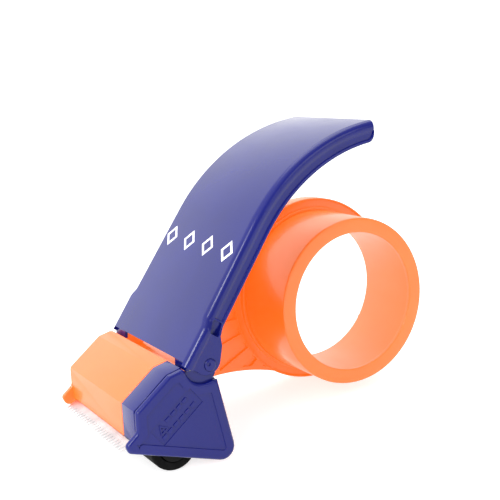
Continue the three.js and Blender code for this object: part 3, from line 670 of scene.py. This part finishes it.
def spoke(angle, inner, outer, width, from_y, to_y):
    """A radial box on the hub, from one radius to another at an angle in degrees."""
    along = Vector((cos(radians(angle)), sin(radians(angle))))
    across = Vector((-along.y, along.x)) * width / 2
    corners = [
        along * inner - across, along * outer - across, along * outer + across, along * inner + across,
    ]
    return slab([tuple(corner) for corner in corners], from_y, to_y)


def arm_taper():
    """Everything beyond the slope by which the arm thins towards the head."""
    front = NOSE_TIP[0] - BEYOND
    back = RIM_RADIUS + BEYOND
    far = RIM_FACE + BEYOND
    plan = [
        (front, HALF_WIDTH), (HEEL[0], HALF_WIDTH), (ARM_FULL_DEPTH - RIM_RADIUS, RIM_FACE),
        (back, RIM_FACE), (back, far), (front, far),
    ]
    height = 2 * RIM_RADIUS
    return loft("taper", [[(x, y, z) for x, y in plan] for z in (-height, height)])


def hub_shell():
    """Rim, floor, thrust ring and collar as one turned section."""
    near = DRUM_NEAR + DRUM_WALL + GAP
    floor = INSIDE + GROOVE_DEPTH
    thrust_inner = THRUST_RING_RADIUS - THRUST_RING_WIDTH
    thrust_face = INSIDE - THRUST_RING_HEIGHT
    rim_step = RIM_RADIUS - RIM_STEP
    rim_inner = RIM_RADIUS - RIM_WALL
    section = outline([
        (COLLAR_INNER, near, EDGE), (COLLAR_OUTER, near, EDGE), (COLLAR_OUTER + CATCH, near + 1),
        (COLLAR_OUTER + CATCH, near + 1.6), (COLLAR_OUTER, near + 2.4), (COLLAR_OUTER, floor, SMALL_EDGE),
        (thrust_inner, floor, 0.2), (thrust_inner, thrust_face, SMALL_EDGE),
        (THRUST_RING_RADIUS, thrust_face, SMALL_EDGE), (THRUST_RING_RADIUS, floor, 0.2),
        (rim_step, floor, 0.2), (rim_step, INSIDE, SMALL_EDGE),
        (RIM_RADIUS, INSIDE, 0.35), (RIM_RADIUS, RIM_FACE, 0.5), (rim_inner, RIM_FACE, 0.5),
        (rim_inner, LEDGE_FACE, 0.5), (COLLAR_INNER, LEDGE_FACE, EDGE),
    ], 4)
    return turned(section, name="frame_shell")


def arm_shell():
    arm = slab(arm_outline(), INSIDE, RIM_FACE, EDGE, EDGE)
    hollow = slab(arm_hollow(), LEDGE_FACE, RIM_FACE + BEYOND)
    hub = bar((0, 0), RIM_RADIUS - RIM_WALL / 2, INSIDE - BEYOND, RIM_FACE + BEYOND, sides=HUB_SIDES)
    return without(arm, [hollow, hub])


def ribs():
    """Short ribs round the hub and long ones in the arm, on the frame's far side."""
    depth = (INSIDE + RIB_FOOT, RIM_FACE - RIB_DROP)
    made = []
    for i in range(HUB_RIBS):
        angle = i * 360 / HUB_RIBS
        made.append(spoke(angle, RIM_RADIUS - HUB_RIB_REACH, RIM_RADIUS - OVERLAP, RIB_WIDTH, *depth))
    for angle in ARM_RIB_ANGLES:
        long_rib = spoke(angle, RIM_RADIUS - RIM_WALL / 2, 2 * RIM_RADIUS, RIB_WIDTH, *depth)
        made.append(common(long_rib, slab(arm_outline(), INSIDE, RIM_FACE)))
    return made


def grooves():
    """Wide shallow grooves that fan out over the arm's near face."""
    made = []
    for i in range(GROOVE_COUNT):
        angle = GROOVE_FIRST + GROOVE_PITCH * i
        depth = (INSIDE - BEYOND, INSIDE + GROOVE_DEPTH)
        groove = spoke(angle, RIM_RADIUS, GROOVE_END, GROOVE_WIDTH, *depth)
        made.append(common(groove, slab(arm_hollow(), INSIDE - BEYOND, RIM_FACE)))
    return made


def screw_pads():
    pads = []
    for centre, radius in SCREW_POSTS:
        pad = bar(centre, radius + SCREW_PAD_EXTRA, INSIDE, WALL_INSIDE + OVERLAP, EDGE)
        pads.append(common(pad, slab(head_outline(), 0, HALF_WIDTH)))
    return pads


def screw_holes():
    holes = []
    for centre, _ in SCREW_POSTS:
        holes.append(bar(centre, SCREW_BORE_RADIUS, INSIDE - BEYOND, HALF_WIDTH))
        holes.append(bar(centre, SCREW_HEAD_BORE_RADIUS, HALF_WIDTH - SCREW_HEAD_SINK, HALF_WIDTH + BEYOND))
    return holes


def make_frame():
    hood = slab(hood_outline(), SPLIT + GAP, WALL_INSIDE + OVERLAP, EDGE)
    wall = slab(head_outline(), WALL_INSIDE, HALF_WIDTH, EDGE, EDGE)
    root = common(slab(head_outline(), INSIDE, HALF_WIDTH - OVERLAP), slab(ARM_ROOT, 0, HALF_WIDTH))
    head = [hood, wall, *ledge_pieces(1), *axle_sockets(1), *screw_pads(), root]
    body = union([hub_shell(), arm_shell(), *ribs(), *head])
    body = without(body, [arm_taper(), *grooves(), *bores(1), *screw_holes()])
    smooth(body)
    place(body, "body", ORANGE, "orange_plastic", "frame")


# ---- side cover ------------------------------------------------------------------------------
COVER_ROLL = 1.3                # round of the cover's outer edge
COVER_NOSE_ROUND = 2
COVER_BORDER = 4                # from the edge to the sunk field
FIELD_ROUND = 1.2
FIELD_DEPTH = 0.55
NECK_DEPTH = 0.6                # of the groove between cover and band
NECK_WIDTH = 0.7
PANEL_CENTRE = (-103.5, -26.4)
PANEL_LENGTH = 21.5
PANEL_WIDTH = 8.4
PANEL_DEPTH = 0.4

# The panel's marks, measured from its centre along the hood's slope and across it.
MARK_HEIGHT = 0.36
TRIANGLE = (-6.9, 0.7)
TRIANGLE_RADIUS = 2.5
TRIANGLE_STROKE = 0.5
STROKE = (-6.9, 0.5)            # the upright stroke inside the triangle
STROKE_SIZE = (0.45, 1.6)
BAR_ROWS = ((-3, 1.9, 4), (-8.2, -2.1, 6))     # where a row starts, and its number of bars
BAR_PITCH = 3.1
BAR_SIZE = (2.3, 1.5)


def sunk_field():
    """The cover's face inside its border, which runs round the handle's trough as well."""
    corners = [HOOD_TOP, HOOD_BEND, HOOD_FRONT, CHIN, NOSE_TIP, NOSE_BOTTOM, HEEL, HEAD_BACK]
    shape = outline([(*corner, FIELD_ROUND) for corner in inset(corners, COVER_BORDER)])
    field = slab(shape, -HALF_WIDTH - BEYOND, -HALF_WIDTH + FIELD_DEPTH, 0, SMALL_EDGE)
    border = bar(TROUGH, TROUGH_RADIUS + COVER_BORDER, -HALF_WIDTH - 2 * BEYOND, -WALL_INSIDE, sides=96)
    return without(field, [border])


def on_panel(along, across):
    """A point of the panel, measured from its centre along the hood's slope and across it."""
    way = (Vector(HOOD_BEND) - Vector(HOOD_FRONT)).normalized()
    return tuple(Vector(PANEL_CENTRE) + way * along + Vector((-way.y, way.x)) * across)


def panel_box(along, across, length, width, from_y, to_y, near=0, far=0):
    corners = [(-1, -1), (1, -1), (1, 1), (-1, 1)]
    shape = [on_panel(along + a * length / 2, across + b * width / 2) for a, b in corners]
    return slab(shape, from_y, to_y, near, far)


def panel_marks(floor_y):
    """A plain warning triangle and rows of bars, where a real one has words."""
    top = floor_y - MARK_HEIGHT
    low = floor_y + OVERLAP
    triangle = [on_panel(*corner) for corner in arc(TRIANGLE, TRIANGLE_RADIUS, 90, 330, 2)]
    opening = slab(inset(triangle, TRIANGLE_STROKE), top - BEYOND, low + BEYOND)
    marks = [without(slab(triangle, top, low, 0.1), [opening])]
    for start, across, count in BAR_ROWS:
        for i in range(count):
            marks.append(panel_box(start + BAR_PITCH * i, across, *BAR_SIZE, top, low, 0.12))
    marks.append(panel_box(*STROKE, *STROKE_SIZE, top, low))
    return marks


def make_cover():
    head = head_outline(COVER_NOSE_ROUND)
    wall = slab(head, -HALF_WIDTH, -WALL_INSIDE, COVER_ROLL, SMALL_EDGE, "cover_shell")
    wall = without(wall, [sunk_field()])
    field = -HALF_WIDTH + FIELD_DEPTH
    floor = field + PANEL_DEPTH
    panel = panel_box(0, 0, PANEL_LENGTH, PANEL_WIDTH, field - BEYOND, floor, 0, 0.15)
    wall = union([without(wall, [panel]), *panel_marks(floor)])
    band_start = -WALL_INSIDE + NECK_WIDTH
    neck = slab(inset(hood_outline(), NECK_DEPTH), -WALL_INSIDE - OVERLAP, band_start + 2 * OVERLAP)
    band = slab(hood_outline(), band_start, SPLIT, 0.35, SMALL_EDGE)
    posts = []
    for centre, radius in SCREW_POSTS:
        posts.append(bar(centre, radius, -WALL_INSIDE - OVERLAP, INSIDE - GAP, 0, EDGE))
    body = union([wall, neck, band, *ledge_pieces(-1), *axle_sockets(-1), *posts])
    body = without(body, bores(-1))
    smooth(body)
    place(body, "body", BLUE, "blue_plastic", "side_cover")


# ---- handle ----------------------------------------------------------------------------------
HANDLE_BOW = radians(HANDLE_BEND_ANGLE - HANDLE_TIP_ANGLE) * HANDLE_RADIUS
HANDLE_LENGTH = HANDLE_STRAIGHT + HANDLE_BOW
FLANGE_SINK = 0.7               # the flange lies this far inside the bead and the lip
BEAD_REACH = 0.5                # the bead goes on this far below the plate's round
BEAD_FADE = 2.24                # and then runs out into the flange
LIP_HEIGHT = 1.3
LIP_RUN = 4                     # length over which the lip rises out of the flange
HORN = 1.4                      # how far the flanges reach past the plate at the foot
HORN_EXTRA = 0.3                # and how much thicker than the flanges they are beside the plate
CHEEK_FROM = 24                 # where the walls under the foot begin, along Y
CHEEK_LOW = -10                 # their lower edge
LOBE_ANGLES = (225, 350)
LOBE_RISE = 0.2                 # the lobes stand this far out of the flanges
WINDOW = ((JOG_START - 0.4, 3.4), (JOG_END + 0.4, 3.4), (JOG_END + 0.4, 7.5), (JOG_START - 0.4, 7.8))
WINDOW_ROUND = 0.7
WINDOW_FRAME = 0.7
WINDOW_FRAME_RISE = 0.1
WINDOW_FLOOR = 0.7
WINDOW_PLAY = 0.2               # from a window's floor to the tape's space


def along_handle(distance):
    """The point on the outer face and the inward direction, at a distance from the foot."""
    bend = radians(HANDLE_BEND_ANGLE)
    ahead = distance - HANDLE_STRAIGHT
    angle = bend - ahead / HANDLE_RADIUS if ahead > 0 else bend
    inward = Vector((-cos(angle), -sin(angle)))
    point = -HANDLE_RADIUS * inward
    if ahead < 0:
        point = point + Vector((sin(angle), -cos(angle))) * ahead
    return point, inward


def clamp(value):
    return min(1, max(0, value))


def ease(value):
    value = clamp(value)
    return value * value * (3 - 2 * value)


def half_width(distance):
    jog = ease((distance - JOG_START) / (JOG_END - JOG_START))
    taper = clamp((distance - JOG_END) / (HANDLE_LENGTH - JOG_END))
    return HALF_WIDTH - HANDLE_JOG * jog - HANDLE_TAPER * taper


def handle_flat(distance, depth):
    """A point in the X-Z plane, measured from the foot and down from the outer face."""
    point, inward = along_handle(distance)
    return tuple(point + inward * depth)


def handle_point(distance, across, depth):
    x, z = handle_flat(distance, depth)
    return x, across, z


def stations(start, end, step):
    count = max(1, ceil((end - start) / step))
    return [start + (end - start) * i / count for i in range(count + 1)]


def handle_stations(start, end):
    return (stations(start, JOG_START, 7)[:-1] + stations(JOG_START, JOG_END, 0.8)[:-1]
            + stations(JOG_END, HANDLE_STRAIGHT, 12)[:-1] + stations(HANDLE_STRAIGHT, end, 2.2))


def handle_section(distance, depth):
    """Half of the outer cross-section from the lip up to the plate, as (inset, depth) points."""
    foot = depth - LIP_HEIGHT
    full_lip = [
        (0.5, depth), (0.15, depth - 0.15), (0, depth - 0.45),
        (0, foot + 0.4), (0.12, foot + 0.12), (0.4, foot), (0.75, foot - 0.15),
    ]
    rise = ease((distance - JOG_START) / LIP_RUN)
    lip = [(FLANGE_SINK + (x - FLANGE_SINK) * rise, down) for x, down in full_lip]
    side = []
    steps = 8
    for k in range(steps, -1, -1):
        side.append((FLANGE_SINK * ease(k / steps), HANDLE_CORNER + BEAD_REACH + BEAD_FADE * k / steps))
    return lip + side + arc((HANDLE_CORNER, HANDLE_CORNER), HANDLE_CORNER, 180, 270, 10)


def handle_ring(distance, depth):
    half = half_width(distance)
    section = handle_section(distance, depth)
    left = [handle_point(distance, x - half, down) for x, down in section]
    right = [handle_point(distance, half - x, down) for x, down in reversed(section)]
    return left + right


def handle_shell():
    tip_start = HANDLE_LENGTH - HANDLE_TIP_ROUND
    tips = [tip_start + HANDLE_TIP_ROUND * sin(radians(a)) for a in range(9, 91, 9)]
    rings = []
    for distance in handle_stations(-HORN, tip_start) + tips:
        into = max(0, distance - tip_start)
        round_ = sqrt(max(0, HANDLE_TIP_ROUND ** 2 - into ** 2))
        rings.append(handle_ring(distance, HANDLE_DEPTH - HANDLE_TIP_ROUND + round_))
    return loft("handle_shell", rings)


def handle_hollow():
    below = HANDLE_DEPTH + BEYOND
    rings = []
    for distance in handle_stations(-HORN - BEYOND, HANDLE_LENGTH - HANDLE_TIP_WALL):
        half = half_width(distance) - HANDLE_WALL
        section = [(-half, below), (-half, HANDLE_PLATE), (half, HANDLE_PLATE), (half, below)]
        rings.append([handle_point(distance, across, down) for across, down in section])
    return loft("hollow", rings)


def window_outline(grow=0):
    """The pocket at the jog, or the frame round it, which is larger all round by grow."""
    corners = [handle_flat(*corner) for corner in WINDOW]
    return outline([(*corner, WINDOW_ROUND + grow / 2) for corner in inset(corners, -grow)])


def lobe_outline():
    """A handle lobe, which hangs from the flange at the foot and has a round end."""
    jog = JOG_START + 1
    return outline([
        (*handle_flat(0.3 - HORN, 3.2), 0.6), *arc(LOBE, LOBE_RADIUS, *LOBE_ANGLES, 24), LOBE_BACK,
        handle_flat(jog, HANDLE_DEPTH - 0.5), handle_flat(jog, 3),
    ])


def foot_cuts():
    """Ends the plate at the foot, and slants the horns that the flanges leave beside it."""
    past = -HORN - BEYOND
    below = HANDLE_DEPTH + 2
    plate = [handle_flat(*corner) for corner in ((past, -2), (0, -2), (0, 5), (past, 5))]
    slant = [(past, HANDLE_CORNER + 1.6), (1, HANDLE_CORNER + 3.2), (1, below), (past, below)]
    between = half_width(0) - HANDLE_WALL - HORN_EXTRA
    outside = HALF_WIDTH + BEYOND
    return [
        slab(plate, -between, between),
        slab([handle_flat(*corner) for corner in slant], -outside, outside),
    ]


def foot_cheeks():
    """Short walls that hang under the plate's foot, beside the flanges."""
    front = handle_flat(0.1, 1)
    back = handle_flat(0.1, 2.4)
    wall = [front, (front[0], CHEEK_LOW), (back[0], CHEEK_LOW), back]
    return both_sides(wall, CHEEK_FROM, HALF_WIDTH - HANDLE_WALL + OVERLAP)


def pin_seats():
    seats = []
    outside = HALF_WIDTH + BEYOND
    for side in (1, -1):
        bore = span(side, HALF_WIDTH - HANDLE_WALL - BEYOND, outside)
        head = span(side, HALF_WIDTH - PIN_HEAD_HEIGHT, outside)
        seats.append(bar(PIN, PIN_RADIUS + GAP, *bore))
        seats.append(bar(PIN, PIN_HEAD_RADIUS + PIN_HEAD_PLAY, *head))
    return seats


def make_handle():
    lobe_face = HALF_WIDTH - FLANGE_SINK + LOBE_RISE
    lobes = both_sides(lobe_outline(), HALF_WIDTH - HANDLE_WALL, lobe_face, SMALL_EDGE)
    body = union([without(handle_shell(), foot_cuts()), *lobes])
    body = union([without(body, [handle_hollow(), *pin_seats()]), *foot_cheeks()])
    frame_back = INSIDE + WINDOW_PLAY
    frame_face = HALF_WIDTH - HANDLE_JOG + WINDOW_FRAME_RISE
    frames = both_sides(window_outline(WINDOW_FRAME), frame_back, frame_face, SMALL_EDGE)
    pockets = both_sides(window_outline(), frame_back + WINDOW_FLOOR, HALF_WIDTH + BEYOND)
    body = without(union([body, *frames]), pockets)
    smooth(body)
    place(body, "handle", BLUE, "blue_plastic", "handle")


PRINT_AT = 45                   # along the handle, from the foot
PRINT_COUNT = 4
PRINT_PITCH = 16
PRINT_SIZE = 4.6                # half the height of one mark
PRINT_STROKE = 1.15
PRINT_LEVELS = (0.02, -0.03)    # its underside and its face, down from the handle's face


def make_print():
    """A row of plain diamonds in white ink on the handle's face."""
    ends = [(0, 1), (1, 0), (0, -1), (-1, 0)]
    vertices = []
    faces = []
    for k in range(PRINT_COUNT):
        middle_y = (k - (PRINT_COUNT - 1) / 2) * PRINT_PITCH
        start = len(vertices)
        for level in PRINT_LEVELS:
            for size in (PRINT_SIZE, PRINT_SIZE - PRINT_STROKE * sqrt(2)):
                for a, b in ends:
                    vertices.append(handle_point(PRINT_AT + b * size, middle_y + a * size, level))
        for i in range(4):
            j = (i + 1) % 4
            low_out, low_in, top_out, top_in = (start + 4 * n for n in range(4))
            faces += [(top_out + i, top_out + j, top_in + j, top_in + i),
                      (low_out + i, low_in + i, low_in + j, low_out + j),
                      (low_out + i, low_out + j, top_out + j, top_out + i),
                      (low_in + i, top_in + i, top_in + j, low_in + j)]
    marks = mesh_object("handle_print", vertices, faces)
    place(marks, "handle", INK, None)


def pin_profile():
    """Half of a pin's section, as (radius, y), from the barb at its end to its domed head."""
    barb = INSIDE - GAP
    end = barb - PIN_BARB_LENGTH
    head = HALF_WIDTH - PIN_HEAD_HEIGHT + GAP
    top = HALF_WIDTH + PIN_DOME
    return [
        (0, end), (PIN_RADIUS - 0.3, end), (PIN_RADIUS + PIN_BARB_LIFT, barb - 0.2),
        (PIN_RADIUS + PIN_BARB_LIFT, barb), (PIN_RADIUS, barb), (PIN_RADIUS, head),
        (PIN_HEAD_RADIUS, head), (PIN_HEAD_RADIUS, top - 0.45), (PIN_HEAD_RADIUS - 0.12, top - 0.2),
        (PIN_HEAD_RADIUS - 0.4, top - 0.06), (PIN_HEAD_RADIUS - 0.9, top), (0, top),
    ]


def make_pins():
    """Snap pins, each with the small round hollow of a moulding gate in its head."""
    top = HALF_WIDTH + PIN_DOME
    for name, side in (("near", -1), ("far", 1)):
        pin = turned([(radius, side * y) for radius, y in pin_profile()], PIN, 40, "pin_" + name)
        gate = bar((PIN[0] - 0.9, PIN[1] + 0.5), 0.75, *span(side, top - 0.4, top + BEYOND))
        pin = without(pin, [gate])
        smooth(pin)
        place(pin, "body", BLUE, "blue_plastic", "handle_pin_" + name)


# ---- rollers ---------------------------------------------------------------------------------
def make_sleeve():
    half = INSIDE - ROLLER_SIDE_PLAY
    bore = PRESS_CORE_RADIUS + GAP
    section = outline([
        (bore, -half, EDGE), (PRESS_RADIUS, -half, 1), (PRESS_RADIUS, half, 1), (bore, half, EDGE),
    ], 5)
    sleeve = turned(section, PRESS_ROLLER, 96, "rubber_sleeve")
    smooth(sleeve)
    place(sleeve, "press_roller", RUBBER, "black_rubber", "press_roller_sleeve")


# ---- camera, floor and light -----------------------------------------------------------------
# The camera's place is in the design frame; lights and floor are in the row frame, in metres.
CAMERA_PLACE = Vector((-254.73, -349.86, 92.89))
CAMERA_AIM = Vector((0.4941, 0.8544, -0.1607))
CAMERA_LENS = 70.76
SENSOR_WIDTH = 36


def make_camera():
    ahead = CAMERA_AIM.normalized()
    right = ahead.cross(Vector((0, 0, 1))).normalized()
    up = right.cross(ahead)
    turn = Matrix((right, up, -ahead)).transposed()
    data = bpy.data.cameras.new("camera")
    data.lens = CAMERA_LENS
    data.sensor_width = SENSOR_WIDTH
    data.clip_start = 0.01
    camera = bpy.data.objects.new("camera", data)
    bpy.context.collection.objects.link(camera)
    location, rotation, _ = (REST @ (Matrix.Translation(CAMERA_PLACE) @ turn.to_4x4())).decompose()
    camera.matrix_world = Matrix.Translation(location) @ rotation.to_matrix().to_4x4()
    bpy.context.scene.camera = camera


def make_floor():
    """A light table: white, and lit from within so that only faint shadows show."""
    half = 30
    corners = [(-half, -half, 0), (half, -half, 0), (half, half, 0), (-half, half, 0)]
    floor = mesh_object("floor", corners, [(0, 1, 2, 3)])
    nodes = Nodes("pale_floor")
    speckle = nodes.noise(40, detail=3)
    tint = nodes.blend(nodes.remap(speckle, 0.3, 0.7, 0, 1), (0.5, 0.5, 0.5), (0.48, 0.48, 0.48))
    nodes.link(tint, nodes.shader.inputs["Base Color"])
    nodes.set(Roughness=0.6, Emission_Color=(1, 1, 1, 1), Emission_Strength=0.72)
    floor.data.materials.append(nodes.material)


def area_light(name, at, aim, size, power):
    """A white rectangular light, with its power in watts."""
    data = bpy.data.lights.new(name, "AREA")
    data.shape = "RECTANGLE"
    data.size, data.size_y = size
    data.energy = power
    light = bpy.data.objects.new(name, data)
    bpy.context.collection.objects.link(light)
    light.location = at
    light.rotation_euler = (Vector(aim) - Vector(at)).to_track_quat("-Z", "Y").to_euler()


SKY_BRIGHT = 1.8                # the studio's white walls
SKY_DARK = 0.5                  # the darker side of the room
SKY_DARK_SIDE = (0.6, -0.6, -0.35)
SKY_FADE = 0.6                  # the cosines from -SKY_FADE to SKY_FADE are the soft border


def make_sky():
    """White overhead and on the head's side, fading to a darker side at the front of the drum."""
    world = bpy.data.worlds.new("studio")
    world.use_nodes = True
    tree = world.node_tree
    background = tree.nodes["Background"]
    background.inputs["Color"].default_value = (1, 1, 1, 1)
    direction = tree.nodes.new("ShaderNodeTexCoord")
    facing = tree.nodes.new("ShaderNodeVectorMath")
    facing.operation = "DOT_PRODUCT"
    facing.inputs[1].default_value = SKY_DARK_SIDE
    tree.links.new(direction.outputs["Generated"], facing.inputs[0])
    fade = tree.nodes.new("ShaderNodeMapRange")
    fade.interpolation_type = "SMOOTHSTEP"
    fade.inputs["From Min"].default_value = -SKY_FADE
    fade.inputs["From Max"].default_value = SKY_FADE
    fade.inputs["To Min"].default_value = SKY_BRIGHT
    fade.inputs["To Max"].default_value = SKY_DARK
    tree.links.new(facing.outputs["Value"], fade.inputs["Value"])
    tree.links.new(fade.outputs["Result"], background.inputs["Strength"])
    bpy.context.scene.world = world


def make_light():
    make_sky()
    area_light("key", (-0.85, -0.7, 0.6), (-0.02, 0, 0.05), (0.35, 0.5), 7)
    area_light("fill", (0.45, -0.95, 0.4), (0, 0, 0.04), (0.4, 0.4), 1)
    area_light("top", (0.1, 0.15, 1.0), (0, 0, 0.05), (0.8, 0.8), 4)
    bpy.context.scene.view_settings.view_transform = "Standard"


make_camera()
make_floor()
make_light()
make_drum()
make_frame()
make_cover()
make_handle()
make_print()
make_pins()
make_sleeve()

# The CAD nodes that no piece stands in for; the rest of them are zinc-plated.
NODE_LOOKS = {
    "blade": BLADE_STEEL, "tape_tongue": NYLON, "press_roller_core": BLACK_PLASTIC, "guide_roller": NYLON,
}
for name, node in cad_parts.items():
    for slot in node.material_slots:
        slot.material = NODE_LOOKS.get(name, ZINC)
